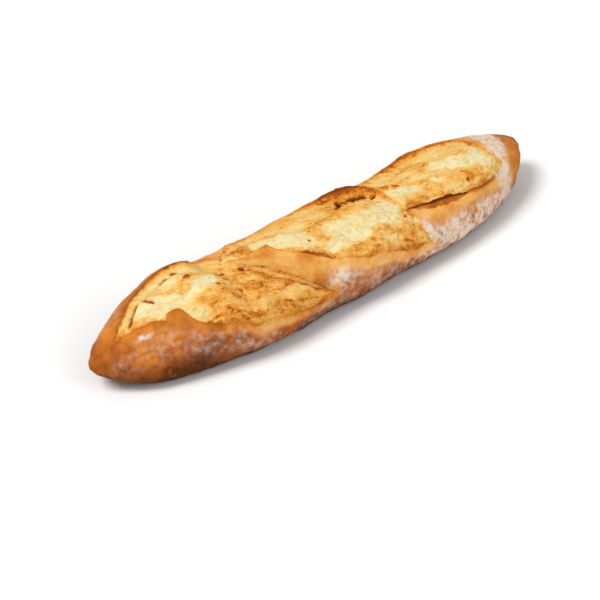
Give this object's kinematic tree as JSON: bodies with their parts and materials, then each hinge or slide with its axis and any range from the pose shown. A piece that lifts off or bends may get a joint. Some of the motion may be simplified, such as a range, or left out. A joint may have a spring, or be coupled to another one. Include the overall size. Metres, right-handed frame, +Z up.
{
  "type": "baguette",
  "caption": "Rustic baguette with tapered, lifted ends, a flat base, and slanting cuts across the crown that have opened into raised lips and torn crumb.",
  "frame": {"origin": "centre of the loaf's box at the level of the surface that it rests on", "axes": "+X along the loaf, +Y towards the side with the raised lips, +Z up through the crown"},
  "size_m": [0.4002, 0.0882, 0.0542],
  "materials": {
    "crust": "matte baked crust, orange-brown with flour dust, cream to golden torn crumb in the cuts"
  },
  "bodies": {
    "root": {"loaf": "crust"}
  },
  "joints": []
}
